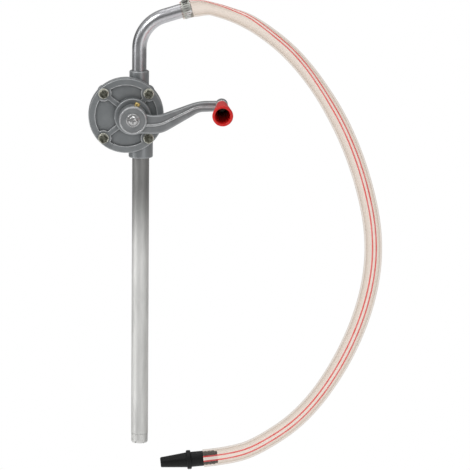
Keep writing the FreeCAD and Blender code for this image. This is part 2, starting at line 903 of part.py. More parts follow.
def make_crank_fasteners():
    """The screw and washer on the shaft's end, and the brass screw in the hub's side."""
    face = size["hub_front"]
    washer = turned(
        "crank_end_washer",
        [
            (4.3, face),
            (10, face),
            (10, face + 1),
            (9.4, face + 1.6),
            (4.3, face + 1.6),
        ],
        on_shaft(),
        FRONT,
    )
    seat = face + 1.6
    screw = turned(
        "crank_end_screw",
        [
            (0, face - 20),
            (size["bolt_radius"], face - 20),
            (size["bolt_radius"], seat),
            (7.2, seat),
            (7.2, seat + 2),
            (5.6, seat + 3.9),
            (2.8, seat + 4.8),
            (0, seat + 5),
        ],
        on_shaft(),
        FRONT,
    )
    for name, width, length in (("cross_slot", 1.7, 8.6), ("cross_bar", 8.6, 1.7)):
        slot = new_sketch(screw, name, height=seat + 5)
        across, along = width / 2, length / 2
        draw_polygon(
            slot, [(-across, -along), (across, -along), (across, along), (-across, along)]
        )
        add_pocket(screw, slot, 2.6)
    angle = size["set_screw_angle"].value
    step_x, step_z = radial(angle)
    outward = FreeCAD.Rotation(Vector(0, 0, 1), Vector(step_x, 0, step_z))
    rim = size["hub_radius"]
    spot = (size["shaft_x"], -size["set_screw_depth"], size["shaft_level"])
    set_screw = turned(
        "crank_set_screw",
        [
            (0, size["shaft_radius"]),
            (3, size["shaft_radius"]),
            (3, rim),
            (4.2, rim),
            (4.2, rim + 4.2),
            (3.4, rim + 5),
            (0, rim + 5),
        ],
        spot,
        outward,
    )
    slot = new_sketch(set_screw, "screw_slot", height=rim + 5)
    draw_polygon(slot, [(-6, -0.7), (6, -0.7), (6, 0.7), (-6, 0.7)])
    add_pocket(set_screw, slot, 2)
    return [washer, screw, set_screw]


def on_crank_pin():
    return (
        size["shaft_x"] + size["crank_pin_x"],
        0,
        size["shaft_level"] + size["crank_pin_z"],
    )


def make_grip_parts():
    """The hollow tapered grip, the shoulder bolt that it turns on and the washer behind it."""
    back, face = size["grip_back"], size["crank_boss_front"]
    front = back + size["grip_length"]
    shoulder = size["grip_bolt_radius"]
    floor = back + size["grip_end_wall"]
    grip = turned(
        "handle_grip",
        [
            (shoulder + 0.06, back),
            (size["grip_back_radius"], back),
            (size["grip_front_radius"], front),
            (size["grip_bore_radius"], front),
            (size["grip_back_radius"] - 1, floor),
            (shoulder + 0.06, floor),
        ],
        on_crank_pin(),
        FRONT,
    )
    round_edges(
        grip,
        "grip_lip",
        1.8,
        lambda e: is_arc(e, size["grip_front_radius"], front)
        or is_arc(e, size["grip_bore_radius"], front),
    )
    round_edges(
        grip, "grip_heel", 1, lambda e: is_arc(e, size["grip_back_radius"], back)
    )
    washer = ring(
        "grip_washer", shoulder + 0.1, 8.6, face, back - 0.3, on_crank_pin(), FRONT
    )
    head = floor + 0.3
    bolt = turned(
        "grip_bolt",
        [
            (0, size["arm_back"] - 1),
            (size["bolt_radius"], size["arm_back"] - 1),
            (size["bolt_radius"], face),
            (shoulder, face),
            (shoulder, head),
            (6.4, head),
            (6.4, head + 4.4),
            (5.8, head + 5),
            (0, head + 5),
        ],
        on_crank_pin(),
        FRONT,
    )
    socket = new_sketch(bolt, "hex_socket", height=head + 5)
    angles = [formula(60 * i) for i in range(6)]
    draw_polygon(socket, [(3.4 * cosine(a), 3.4 * sine(a)) for a in angles])
    add_pocket(bolt, socket, 3)
    return [grip, washer, bolt]


# ---------------------------------------------------------------- telescopic suction tube


def make_suction_tube():
    """Three tubes, one inside another. A bush in each lower end guides the next tube, and a ring on each
    inner tube's top stops against that bush when the tube is pulled out."""
    end = -size["tube_length"]
    wall = size["tube_wall"]
    gap = size["running_gap"] + 0.02
    outer = turned(
        "suction_tube_outer",
        [
            (size["tube_radius"] - wall, end),
            (size["tube_radius"], end),
            (size["tube_radius"], 0),
            (size["tube_thread_radius"], 0),
            (size["tube_thread_radius"], size["tube_thread_length"]),
            (size["tube_radius"] - wall, size["tube_thread_length"]),
        ],
    )
    pieces = [outer]
    nest = (
        ("outer", "middle", size["tube_radius"] - wall, size["middle_radius"], -24),
        ("middle", "inner", size["middle_radius"] - wall, size["inner_radius"], -40),
    )
    for holder, slider, bore, radius, top in nest:
        pieces.append(
            ring(f"{holder}_tube_bush", radius + gap, bore, end, end + size["bush_length"])
        )
        pieces.append(ring(f"suction_tube_{slider}", radius - wall, radius, end, top))
        pieces.append(
            ring(f"{slider}_tube_guide", radius, bore - gap, top - size["guide_length"], top)
        )
    pieces.append(make_strainer(end))
    return pieces


def make_strainer(end):
    """The collar on the innermost tube's end. Liquid gets in through its bore and six notches."""
    top = end - 0.3
    foot = end - size["strainer_length"]
    body = turned(
        "strainer",
        [
            (size["inner_radius"] - size["tube_wall"], top),
            (size["strainer_radius"], top),
            (size["strainer_radius"], foot),
            (size["inner_radius"] - size["tube_wall"], foot),
        ],
    )
    round_edges(
        body, "strainer_foot", 4, lambda e: is_arc(e, size["strainer_radius"], foot)
    )
    notch = new_sketch(body, "strainer_notch", height=foot)
    draw_polygon(notch, [(0, -1.6), (20, -1.6), (20, 1.6), (0, 1.6)])
    repeat_round(body, add_pocket(body, notch, 3.5, forwards=True), 6)
    return body


# ---------------------------------------------------------------- spout, hose and nozzle


def make_spout():
    """The bent pipe from the upper boss to the hose."""
    body = new_body("spout_pipe")
    foot = size["upper_boss_level"] - size["spout_socket"]
    x, corner = size["outlet_x"], size["pipe_corner_level"]
    section = new_sketch(body, "pipe_section", height=foot)
    draw_circle(section, size["pipe_radius"], x)
    draw_circle(section, size["pipe_radius"] - size["pipe_wall"], x)
    run = size["pipe_end_x"] - x
    rise = size["pipe_end_level"] - corner
    turn = math.atan2(run.value, rise.value)
    tangent = size["pipe_bend_radius"] * math.tan(turn / 2)
    length = math.hypot(run.value, rise.value)
    along_x, along_z = run / length, rise / length
    bend_start = (x, corner - tangent)
    bend_end = (x + along_x * tangent, corner + along_z * tangent)
    path = new_sketch(body, "pipe_path", "XZ_Plane")
    spots = [(x, foot), bend_start, bend_end, (size["pipe_end_x"], size["pipe_end_level"])]
    points = [Vector(formula(a).value, formula(b).value, 0) for a, b in spots]
    centre = Vector(points[1].x + size["pipe_bend_radius"].value, points[1].y, 0)
    bend = Part.ArcOfCircle(
        Part.Circle(centre, Vector(0, 0, 1), size["pipe_bend_radius"].value),
        math.pi - turn,
        math.pi,
    )
    path.addGeometry(Part.LineSegment(points[0], points[1]), False)
    path.addGeometry(bend, False)
    path.addGeometry(Part.LineSegment(points[2], points[3]), False)
    path.addConstraint(Sketcher.Constraint("Tangent", 0, 2, 1, 2))
    path.addConstraint(Sketcher.Constraint("Tangent", 1, 1, 2, 1))
    dimension(path, "Radius", (1,), size["pipe_bend_radius"])
    for line, end, (a, b) in ((0, 1, spots[0]), (2, 2, spots[3])):
        dimension(path, "DistanceX", (-1, 1, line, end), a)
        dimension(path, "DistanceY", (-1, 1, line, end), b)
    path.addConstraint(Sketcher.Constraint("Vertical", 0))
    pipe = body.newObject("PartDesign::AdditivePipe", "pipe")
    pipe.Profile = section
    pipe.Spine = (path, ["Edge1", "Edge2", "Edge3"])
    return body


def route_vectors():
    return [Vector(x, 0, z) for x, z in HOSE_ROUTE]


def smooth_wire(points):
    """Straight runs joined by tangent arcs, each arc as large as its two runs allow."""
    edges, radii = [], []
    start = points[0]
    for before, corner, after in zip(points, points[1:], points[2:]):
        back, forth = before - corner, after - corner
        turn = math.pi - back.getAngle(forth)
        shorter = min(back.Length, forth.Length)
        cut = 0.45 * shorter
        radius = cut / math.tan(turn / 2)
        back.normalize()
        forth.normalize()
        arc_start, arc_end = corner + back * cut, corner + forth * cut
        inward = (back + forth).normalize()
        middle = corner + inward * (radius / math.cos(turn / 2) - radius)
        edges.append(Part.LineSegment(start, arc_start).toShape())
        edges.append(Part.Arc(arc_start, middle, arc_end).toShape())
        radii.append(radius)
        start = arc_end
    edges.append(Part.LineSegment(start, points[-1]).toShape())
    return Part.Wire(edges), radii


def make_hose():
    """The clear delivery hose, pushed over the spout at one end and over the nozzle's barb at the other."""
    points = route_vectors()
    wire, radii = smooth_wire(points)
    outside, inside = size["hose_radius"].value, size["pipe_radius"].value
    direction = points[1] - points[0]
    solids = []
    for radius in (outside, inside):
        circle = Part.Wire(Part.makeCircle(radius, points[0], direction))
        solids.append(wire.makePipeShell([circle], True, False))
    hose = doc.addObject("Part::Feature", "delivery_hose")
    hose.Shape = solids[0].cut(solids[1])
    expected = math.pi * (outside**2 - inside**2) * wire.Length
    print("hose radii:", [round(r) for r in radii], "length:", round(wire.Length, 1))
    print("hose volume over section times length:", round(hose.Shape.Volume / expected, 4))
    return hose


def make_hose_clamp():
    """A worm-drive clamp: the slotted band, the housing and its screw."""
    start, following = route_vectors()[:2]
    along = (following - start).normalize()
    centre = start + along * size["clamp_offset"].value
    turn = FreeCAD.Rotation(Vector(0, 0, 1), along)
    half = size["clamp_width"] / 2
    inner = size["hose_radius"]
    outer = inner + size["clamp_band"]
    band = ring("hose_clamp_band", inner, outer, -half, half, tuple(centre), turn)
    slot = new_sketch(band, "band_slot", "YZ_Plane", outer + 1)
    draw_polygon(slot, [(-0.7, -4.3), (0.7, -3.3), (0.7, 4.3), (-0.7, 3.3)])
    repeat_round(band, add_pocket(band, slot, size["clamp_band"] + 2), 24)

    side = -1
    housing = new_body("hose_clamp_housing", tuple(centre), turn)
    block = new_sketch(housing, "housing_block", "YZ_Plane", side * (outer + 0.05))
    draw_polygon(block, [(-7, -4), (7, -4), (7, 4), (-7, 4)])
    add_pad(housing, block, 7, backwards=True)
    round_edges(
        housing,
        "housing_back",
        3.4,
        lambda e: e.BoundBox.YLength > 13 and e.BoundBox.XMax < -(outer.value + 6.5),
    )
    worm = outer + 3.3
    tunnel = new_sketch(housing, "worm_tunnel", "XZ_Plane", 8)
    draw_circle(tunnel, 3, side * worm, 0)
    add_pocket(housing, tunnel, 16)
    across = turn * FreeCAD.Rotation(Vector(1, 0, 0), 90)
    worm_centre = centre + turn.multVec(Vector(side * worm.value, 0, 0))
    screw = turned(
        "hose_clamp_screw",
        [
            (0, -8.5),
            (2.95, -8.5),
            (2.95, 7.2),
            (3.5, 7.2),
            (3.5, 10.6),
            (2.9, 11.2),
            (0, 11.2),
        ],
        tuple(worm_centre),
        across,
    )
    slot = new_sketch(screw, "clamp_screw_slot", height=11.2)
    draw_polygon(slot, [(-5, -0.6), (5, -0.6), (5, 0.6), (-5, 0.6)])
    add_pocket(screw, slot, 1.8)
    return [band, housing, screw]


def make_nozzle():
    """The tapered nozzle with its stop flange. Its ribbed barb is inside the hose's end."""
    last, end = route_vectors()[-2:]
    turn = FreeCAD.Rotation(Vector(0, 0, 1), last - end)
    barb = size["pipe_radius"]
    bore = size["nozzle_bore_radius"]
    body_radius = size["nozzle_body_radius"]
    flange = size["nozzle_flange_radius"]
    length, inside = size["nozzle_length"], size["nozzle_barb"]
    tip = size["nozzle_tip_radius"]
    profile = [
        (bore, -length),
        (tip - 1.2, -length),
        (tip, 1.2 - length),
        (body_radius - 0.1, -26),
        (flange - 1, -25.6),
        (flange, -24.6),
        (flange, -20),
        (flange - 1, -19),
        (body_radius, -18.6),
        (body_radius, 0),
        (barb - 1.2, 0),
        (barb, 5),
        (barb - 1.2, 5.2),
        (barb, 11),
        (barb - 1.2, 11.2),
        (barb, 17),
        (barb - 1.6, 17.2),
        (barb - 1.6, inside - 1),
        (barb - 2.6, inside),
        (bore + 1.4, inside),
    ]
    return turned("nozzle", profile, tuple(end), turn)


# ---------------------------------------------------------------- the whole pump


doc = FreeCAD.newDocument("rotary_hand_pump")
size = write_sheet()
doc.recompute()

nodes = [make_pump_body(), make_front_cover(), make_gasket()]
nodes += make_cover_fasteners()
nodes += [make_rotor(), make_vane("upper_vane", 1), make_vane("lower_vane", -1)]
nodes.append(make_vane_springs())
nodes += make_bearings()
nodes.append(make_crank_arm())
nodes += make_crank_fasteners()
nodes += make_grip_parts()
nodes += make_suction_tube()
nodes += [make_spout(), make_hose()]
nodes += make_hose_clamp()
nodes.append(make_nozzle())

doc.recompute()
for thing in doc.Objects:
    if {"Invalid", "Error"} & set(thing.State):
        raise RuntimeError(f"{thing.Label} failed: {thing.State}")
for node in nodes:
    if node.Shape.isNull() or not node.Shape.isValid():
        raise RuntimeError(f"{node.Label} has no valid shape")

os.makedirs("parts", exist_ok=True)
for node in nodes:
    node.Shape.exportStep(f"parts/{node.Label}.step")
    print(node.Label, len(node.Shape.Solids), "solid", round(node.Shape.Volume), "mm3")
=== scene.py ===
"""Looks of the rotary hand transfer pump: materials, the clear striped hose, studio and camera.

Lengths are metres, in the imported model's frame: X right, Y back, Z up.
"""

import math

import bmesh
import bpy
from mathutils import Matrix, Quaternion, Vector


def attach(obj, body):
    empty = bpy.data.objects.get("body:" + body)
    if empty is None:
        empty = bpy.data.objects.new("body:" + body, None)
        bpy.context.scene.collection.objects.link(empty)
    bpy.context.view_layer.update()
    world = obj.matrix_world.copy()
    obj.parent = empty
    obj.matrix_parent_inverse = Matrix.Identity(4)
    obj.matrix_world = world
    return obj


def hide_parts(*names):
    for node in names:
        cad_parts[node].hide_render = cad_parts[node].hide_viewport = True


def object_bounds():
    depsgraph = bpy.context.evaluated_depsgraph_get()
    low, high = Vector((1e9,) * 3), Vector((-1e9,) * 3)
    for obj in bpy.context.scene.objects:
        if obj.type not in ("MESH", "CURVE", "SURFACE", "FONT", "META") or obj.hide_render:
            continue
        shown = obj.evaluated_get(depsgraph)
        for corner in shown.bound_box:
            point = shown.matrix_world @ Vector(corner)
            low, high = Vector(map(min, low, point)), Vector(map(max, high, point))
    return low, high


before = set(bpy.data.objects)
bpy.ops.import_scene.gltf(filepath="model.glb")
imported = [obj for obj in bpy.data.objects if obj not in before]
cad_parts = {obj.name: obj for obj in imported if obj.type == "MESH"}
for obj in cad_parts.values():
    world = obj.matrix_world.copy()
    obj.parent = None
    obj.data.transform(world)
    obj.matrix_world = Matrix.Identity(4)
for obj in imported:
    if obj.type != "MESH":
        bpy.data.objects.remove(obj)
cad_low, cad_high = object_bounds()

# ---------------------------------------------------------------- camera and studio

CAMERA_AIM = Vector((0.1448, 0, -0.121))
CAMERA_DISTANCE = 30.0
CAMERA_LENS = 1502
CAMERA_SENSOR = 36
CAMERA_REACH = 80
CAMERA_AZIMUTH = math.radians(-1.0)
CAMERA_ELEVATION = math.radians(10)
CAMERA_ROLL = math.radians(0.3)

# The floor lies lower than the suction tubes reach when they are drawn out to their full length.
FLOOR_DROP = 0.78
FLOOR_SIZE = 12.8
FLOOR_BOUNCE = 0.4
WHITE = (1, 1, 1, 1)


def make_camera():
    """A long lens, a little above the object and square to its front."""
    back = Vector(
        (
            math.sin(CAMERA_AZIMUTH) * math.cos(CAMERA_ELEVATION),
            -math.cos(CAMERA_AZIMUTH) * math.cos(CAMERA_ELEVATION),
            math.sin(CAMERA_ELEVATION),
        )
    )
    camera = bpy.data.objects.new("camera", bpy.data.cameras.new("camera"))
    bpy.context.scene.collection.objects.link(camera)
    camera.data.lens = CAMERA_LENS
    camera.data.sensor_width = CAMERA_SENSOR
    camera.data.clip_end = CAMERA_REACH
    camera.location = CAMERA_AIM + back * CAMERA_DISTANCE
    camera.rotation_mode = "QUATERNION"
    level = (-back).to_track_quat("-Z", "Y")
    camera.rotation_quaternion = level @ Quaternion((0, 0, 1), CAMERA_ROLL)
    bpy.context.scene.camera = camera


def make_light(name, spot, aim, width, height, power):
    """A softbox facing a point."""
    data = bpy.data.lights.new(name, "AREA")
    data.shape = "RECTANGLE"
    data.size = width
    data.size_y = height
    data.energy = power
    light = bpy.data.objects.new(name, data)
    bpy.context.scene.collection.objects.link(light)
    light.location = Vector(spot)
    light.rotation_mode = "QUATERNION"
    light.rotation_quaternion = (Vector(aim) - light.location).to_track_quat("-Z", "Y")


def make_studio():
    """Softboxes left, right and above, in a room that is light above and dark at eye level."""
    casing = (0, 0, 0.07)
    low = (0.1, 0, -0.2)
    make_light("key", (-1.6, -1.6, 1.9), casing, 1.0, 1.2, 26)
    make_light("left_strip", (-2.2, -0.7, -0.1), low, 0.7, 2.6, 10)
    make_light("right_fill", (1.4, -2.6, 0.1), low, 1.7, 2.2, 10)
    make_light("top", (0.2, 0.2, 2.3), low, 1.8, 1.0, 14)

    world = bpy.data.worlds.new("studio")
    bpy.context.scene.world = world
    world.use_nodes = True
    tree = world.node_tree
    tree.nodes.clear()
    rays = node(tree, "LightPath")
    ways = node(tree, "TexCoord").outputs["Generated"]
    parts = node(tree, "SeparateXYZ", {"Vector": ways})
    height = node(tree, "MapRange", {"Value": parts.outputs["Z"], "From Min": -1, "From Max": 1})
    tone = ramp(tree, height, (0.3, 0.55), (0.42, 0.2), (0.56, 0.16), (0.72, 0.5), (1.0, 0.8))
    room = node(tree, "Background", {"Color": tone, "Strength": 0.8})
    paper = node(tree, "Background", {"Color": WHITE, "Strength": 1.0})
    seen = node(tree, "MixShader", {0: rays.outputs["Is Camera Ray"], 1: room, 2: paper})
    node(tree, "OutputWorld", {"Surface": seen})


def make_floor():
    """A pale paper floor. It shows white to the camera and throws soft light at the object."""
    level = cad_low.z - FLOOR_DROP
    bpy.ops.mesh.primitive_plane_add(size=FLOOR_SIZE, location=(0, 0, level))
    floor = bpy.context.object
    floor.name = "floor"
    made, tree = new_material("pale_floor")
    grain = node(tree, "TexNoise", {"Scale": 30.0, "Detail": 3.0})
    tone = ramp(tree, grain, (0.3, 0.72), (0.7, 0.76))
    paper = node(tree, "BsdfDiffuse", {"Color": tone})
    bounce = node(tree, "Emission", {"Color": WHITE, "Strength": FLOOR_BOUNCE})
    lit = node(tree, "AddShader", {0: paper, 1: bounce})
    glow = node(tree, "Emission", {"Color": WHITE, "Strength": 1.0})
    rays = node(tree, "LightPath")
    seen = node(tree, "MixShader", {0: rays.outputs["Is Camera Ray"], 1: lit, 2: glow})
    node(tree, "OutputMaterial", {"Surface": seen})
    floor.data.materials.append(made)


# ---------------------------------------------------------------- shader helpers

BEVEL_SAMPLES = 6
HOLLOW_SAMPLES = 8
# How far the painted shade in hollows reaches.
HOLLOW_SHADE_REACH = 0.009

# Scales of noise, in cycles per metre.
SWELL_SCALE = 55
EDGE_PATCH_SCALE = 160
HEIGHT_SHADE_SCALE = 18
DRIFT_SCALE = 35
CLOUD_SCALE = 60
RIPPLE_SCALE = 90

HEIGHT_SHADE_DRIFT = 0.025


def new_material(name):
    """An empty material, and its node tree."""
    made = bpy.data.materials.new(name)
    made.use_nodes = True
    made.node_tree.nodes.clear()
    return made, made.node_tree


def node(tree, kind, inputs=None, **settings):
    """Adds a node. An input is a value, a socket, or another node, whose first output is used."""
    made = tree.nodes.new("ShaderNode" + kind)
    for name, value in settings.items():
        setattr(made, name, value)
    for name, value in (inputs or {}).items():
        if isinstance(value, bpy.types.Node):
            value = value.outputs[0]
        if isinstance(value, bpy.types.NodeSocket):
            tree.links.new(value, made.inputs[name])
        else:
            made.inputs[name].default_value = value
    return made


def ramp(tree, source, *stops):
    """A colour ramp. Each stop is (position, grey) or (position, (r, g, b))."""
    made = node(tree, "ValToRGB", {"Fac": source})
    elements = made.color_ramp.elements
    while len(elements) < len(stops):
        elements.new(0.5)
    for element, (position, color) in zip(elements, stops):
        if not isinstance(color, tuple):
            color = (color, color, color)
        element.position = position
        element.color = (*color, 1)
    return made


def math_node(tree, operation, first, second):
    return node(tree, "Math", {0: first, 1: second}, operation=operation)


def mixed(tree, factor, first, second):
    """A colour mix. The factor and either colour may be a value, a socket or a node."""
    made = node(tree, "Mix", data_type="RGBA")
    for socket, value in ((0, factor), (6, first), (7, second)):
        if isinstance(value, bpy.types.Node):
            value = value.outputs[0]
        if isinstance(value, bpy.types.NodeSocket):
            tree.links.new(value, made.inputs[socket])
        else:
            made.inputs[socket].default_value = (*value, 1) if socket else value
    return made.outputs[2]


def scaled(tree, tone, share):
    """A share of a colour."""
    return node(tree, "VectorMath", {0: tone, "Scale": share}, operation="SCALE").outputs[0]


def noise(tree, scale, stretch=(1, 1, 1), detail=4.0, roughness=0.55):
    """Noise in the piece's own coordinates, with scale in cycles per metre."""
    spots = node(tree, "TexCoord").outputs["Object"]
    mapping = node(tree, "Mapping", {"Vector": spots, "Scale": stretch})
    return node(
        tree,
        "TexNoise",
        {"Vector": mapping, "Scale": scale, "Detail": detail, "Roughness": roughness},
    )


def edge_wear_and_glint(tree, reach):
    """The mask of worn paint and painted highlight: 0 on flat surfaces and up to 1 on outer edges,
    found by looking into the material.
    """
    inside = node(
        tree, "AmbientOcclusion", {"Distance": reach}, samples=HOLLOW_SAMPLES, inside=True
    )
    return ramp(tree, inside.outputs["AO"], (0.45, 1.0), (0.9, 0.0))


def hollows(tree, reach):
    """1 in the open and down to 0 in corners and gaps: the mask of painted shade."""
    open_sky = node(tree, "AmbientOcclusion", {"Distance": reach}, samples=HOLLOW_SAMPLES)
    return ramp(tree, open_sky.outputs["AO"], (0.35, 0.0), (0.85, 1.0))


def shaded_by_height(tree, tone, low, high, low_share, high_share):
    """Paints shade into a colour: darkens it by a share that changes between two heights, with an
    uneven border.
    """
    spots = node(tree, "TexCoord").outputs["Object"]
    height = node(tree, "SeparateXYZ", {"Vector": spots}).outputs["Z"]
    uneven = noise(tree, HEIGHT_SHADE_SCALE, (1, 1, 0.4))
    drift = node(
        tree, "MapRange", {"Value": uneven, "To Min": -HEIGHT_SHADE_DRIFT, "To Max": HEIGHT_SHADE_DRIFT}
    )
    share = node(
        tree,
        "MapRange",
        {
            "Value": math_node(tree, "ADD", height, drift),
            "From Min": low,
            "From Max": high,
            "To Min": low_share,
            "To Max": high_share,
        },
        interpolation_type="SMOOTHSTEP",
    )
    return scaled(tree, tone, share)


def shaded_in_hollows(tree, tone, hollow_shade):
    """Paints shade into a colour in corners and gaps."""
    unshaded = node(tree, "MapRange", {"Value": hollows(tree, HOLLOW_SHADE_REACH), "To Min": 1 - hollow_shade})
    return scaled(tree, tone, unshaded)


def scuffed_and_highlit(tree, tone, worn_and_highlit, edge):
    """Lets the worn colour, worn paint with a painted highlight, show along outer edges, more in some
    places than in others.
    """
    edge_patches = ramp(tree, noise(tree, EDGE_PATCH_SCALE, detail=3.0), (0.35, 0.55), (0.62, 1.0))
    amount = math_node(tree, "MULTIPLY", edge_wear_and_glint(tree, 2 * edge), edge_patches)
    return mixed(tree, amount, tone, worn_and_highlit)


def rounded_edges(tree, edge):
    """A normal that makes edges look rounded."""
    return node(tree, "Bevel", {"Radius": edge}, samples=BEVEL_SAMPLES)


def bumped(tree, height, distance, normal=None):
    """A bumped normal, laid over another normal where one is given."""
    inputs = {"Height": height, "Distance": distance, "Strength": 1.0}
    if normal is not None:
        inputs["Normal"] = normal
    return node(tree, "Bump", inputs)


def make_metal(
    name,
    color,
    darker,
    metallic=1.0,
    roughness=(0.28, 0.42),
    grain=700,
    stretch=(1, 1, 1),
    bump=0.00004,
    blotch=22,
    worn_and_highlit=None,
    edge=0.0009,
    waves=0.0,
    hollow_shade=0.0,
    fade=None,
):
    """A metal or painted metal: blotched colour, grained roughness and bump, outer edges lightened by
    worn paint and a painted highlight, and painted shade in hollows.

    A fade is painted shade: two heights, and the share of its colour that the metal keeps at each of
    them.
    """
    made, tree = new_material(name)
    patches = noise(tree, blotch, stretch, 5.0)
    tone = mixed(tree, ramp(tree, patches, (0.34, 0.0), (0.68, 1.0)), darker, color)
    fine = noise(tree, grain, stretch, 3.0, 0.6)
    rough = ramp(tree, fine, (0.3, roughness[0]), (0.7, roughness[1]))
    # Painted shade: the colour darkens between two heights.
    if fade:
        tone = shaded_by_height(tree, tone, *fade)
    # Painted shade in corners and gaps.
    if hollow_shade:
        tone = shaded_in_hollows(tree, tone, hollow_shade)
    # Outer edges lightened: worn paint and a painted highlight.
    if worn_and_highlit:
        tone = scuffed_and_highlit(tree, tone, worn_and_highlit, edge)
    normal = rounded_edges(tree, edge)
    if waves:
        normal = bumped(tree, noise(tree, SWELL_SCALE, stretch, 1.0), waves, normal)
    normal = bumped(tree, fine, bump, normal)
    surface = node(
        tree,
        "BsdfPrincipled",
        {"Base Color": tone, "Metallic": metallic, "Roughness": rough, "Normal": normal},
    )
    node(tree, "OutputMaterial", {"Surface": surface})
    return made


def make_plastic(
    name, color, shade, roughness=(0.3, 0.42), grain=500, bump=0.00005, edge=0.0006, specular=0.5
):
    """A moulded plastic or rubber: slight colour drift, fine texture and rounded edges."""
    made, tree = new_material(name)
    drift = ramp(tree, noise(tree, DRIFT_SCALE), (0.3, 0.0), (0.7, 1.0))
    tone = mixed(tree, drift, shade, color)
    fine = noise(tree, grain, detail=2.0)
    rough = ramp(tree, fine, (0.3, roughness[0]), (0.7, roughness[1]))
    normal = bumped(tree, fine, bump, rounded_edges(tree, edge))
    surface = node(
        tree,
        "BsdfPrincipled",
        {"Base Color": tone, "Roughness": rough, "Normal": normal, "Specular IOR Level": specular},
    )
    node(tree, "OutputMaterial", {"Surface": surface})
    return made


CLEAR_ROUGHNESS = 0.22
CLEAR_REFRACTION = 1.52
CLEAR_MOTTLING = 0.15
CLEAR_RIPPLE = 0.00012
CLEAR_RIM = 0.12
CLEAR_RIM_BLEND = 0.32
CLEAR_RIM_TINT = 0.86


def make_clear(name, tint, body, coverage):
    """Clear flexible PVC, with a tint that deepens where the surface turns away.

    The body is its milky colour, and the coverage is how much of that shows over what is behind.
    """
    made, tree = new_material(name)
    cloud = noise(tree, CLOUD_SCALE, detail=3.0)
    pale = tuple(min(1.0, c + (1 - c) * CLEAR_MOTTLING) for c in body)
    milk = mixed(tree, ramp(tree, cloud, (0.35, 0.0), (0.65, 1.0)), body, pale)
    normal = bumped(tree, noise(tree, RIPPLE_SCALE, detail=2.0), CLEAR_RIPPLE)
    surface = node(
        tree,
        "BsdfPrincipled",
        {
            "Base Color": milk,
            "Roughness": CLEAR_ROUGHNESS,
            "Normal": normal,
            "IOR": CLEAR_REFRACTION,
        },
    )
    grazing = node(tree, "LayerWeight", {"Blend": CLEAR_RIM_BLEND, "Normal": normal}).outputs["Facing"]
    deep = tuple(c * c * CLEAR_RIM_TINT for c in tint)
    clear = node(tree, "BsdfTransparent", {"Color": ramp(tree, grazing, (0.0, tint), (1.0, deep))})
    amount = ramp(tree, grazing, (0.0, coverage), (1.0, min(1.0, coverage + CLEAR_RIM)))
    both = node(tree, "MixShader", {0: amount, 1: clear, 2: surface})
    node(tree, "OutputMaterial", {"Surface": both})
    return made


# ---------------------------------------------------------------- materials of the CAD nodes


def casting_finishes():
    """Painted castings: the casing, and the slightly lighter crank, with painted shade in their
    hollows and a painted highlight on their worn edges.
    """
    casting = make_metal(
        "grey_enamel",
        (0.290, 0.304, 0.312),
        (0.240, 0.254, 0.262),
        metallic=0.55,
        roughness=(0.3, 0.42),
        grain=420,
        bump=0.00007,
        blotch=40,
        worn_and_highlit=(0.93, 0.94, 0.95),
        edge=0.0012,
        hollow_shade=0.5,
    )
    hub = make_metal(
        "crank_enamel",
        (0.310, 0.320, 0.326),
        (0.245, 0.255, 0.262),
        metallic=0.6,
        roughness=(0.28, 0.4),
        grain=380,
        bump=0.00008,
        blotch=55,
        worn_and_highlit=(0.96, 0.97, 0.98),
        edge=0.0013,
        hollow_shade=0.5,
    )
    return {casting: ["pump_body", "front_cover", "gland_nut"], hub: ["crank_arm"]}


def tube_finishes():
    """The plated spout, and the suction tubes; painted shade darkens the spout towards its foot at the
    casing and the outer tube towards its top.
    """
    bright = make_metal(
        "bright_plate",
        (0.64, 0.65, 0.665),
        (0.48, 0.48, 0.50),
        roughness=(0.25, 0.34),
        grain=900,
        bump=0.00001,
        blotch=18,
        waves=0.0003,
        # Painted shade darkens the spout towards the casing.
        fade=(0.11, 0.2, 0.5, 1.0),
    )
    tube = {
        "color": (0.86, 0.86, 0.84),
        "darker": (0.62, 0.62, 0.605),
        "metallic": 0.85,
        "roughness": (0.48, 0.62),
        "grain": 420,
        "stretch": (1, 1, 0.12),
        "bump": 0.00002,
        "blotch": 75,
    }
    drawn = make_metal("drawn_tube", **tube)
    # Painted shade darkens the outer tube towards its top.
    tube_in_shade = make_metal("tube_with_painted_shade", fade=(-0.16, -0.03, 1.0, 0.38), **tube)
    return {
        bright: ["spout_pipe"],
        tube_in_shade: ["suction_tube_outer"],
        drawn: ["suction_tube_middle", "suction_tube_inner", "strainer"],
    }


def zinc_finishes():
    """Zinc-plated bolts and washers, and the hose clamp, with worn edges lightened by a painted
    highlight, and painted shade in the clamp's hollows.
    """
    dark_zinc = make_metal(
        "bolt_zinc",
        (0.27, 0.27, 0.22),
        (0.06, 0.06, 0.045),
        roughness=(0.22, 0.36),
        grain=900,
        blotch=260,
        worn_and_highlit=(0.95, 0.93, 0.82),
        edge=0.0007,
    )
    yellow = make_metal(
        "washer_zinc",
        (0.90, 0.90, 0.82),
        (0.66, 0.66, 0.56),
        metallic=0.6,
        roughness=(0.2, 0.34),
        grain=900,
        blotch=180,
        worn_and_highlit=(0.95, 0.94, 0.86),
        edge=0.0005,
    )
    strip = make_metal(
        "clamp_strip",
        (0.56, 0.58, 0.53),
        (0.38, 0.39, 0.35),
        metallic=0.4,
        roughness=(0.22, 0.36),
        grain=800,
        blotch=150,
        worn_and_highlit=(0.8, 0.8, 0.8),
        edge=0.0003,
        hollow_shade=0.4,
    )
    return {
        dark_zinc: ["cover_bolts", "grip_bolt"],
        yellow: ["spring_washers", "plain_washers", "grip_washer"],
        strip: ["hose_clamp_band", "hose_clamp_housing", "hose_clamp_screw"],
    }


